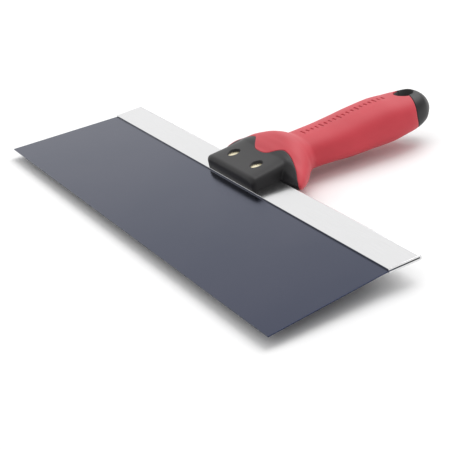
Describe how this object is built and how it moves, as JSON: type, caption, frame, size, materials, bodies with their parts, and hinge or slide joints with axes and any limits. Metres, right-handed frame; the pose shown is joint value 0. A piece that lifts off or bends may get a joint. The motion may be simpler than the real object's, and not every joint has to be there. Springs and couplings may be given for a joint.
{
  "type": "drywall taping knife",
  "caption": "Taping knife: a wide thin blued steel blade in a folded aluminium backing strip, riveted to a soft-grip handle with a hang hole in its butt.",
  "frame": {"origin": "middle of the working edge, half way through the blade's thickness", "axes": "+X along the blade, +Y from the working edge towards the butt, +Z out of the blade's upper face"},
  "size_m": [0.3048, 0.1745, 0.0232],
  "materials": {
    "blued_steel": "satin, blued",
    "aluminium": "satin, brushed lengthways",
    "black_plastic": "fine moulded texture",
    "red_rubber": "matte soft-touch",
    "brass": "satin"
  },
  "bodies": {
    "root": {"blade": "blued_steel", "backing_strip": "aluminium", "handle_core": "black_plastic", "grip_sleeve": "red_rubber", "rivet_post_left": "brass", "rivet_post_right": "brass", "rivet_cap_left": "brass", "rivet_cap_right": "brass"}
  },
  "joints": []
}
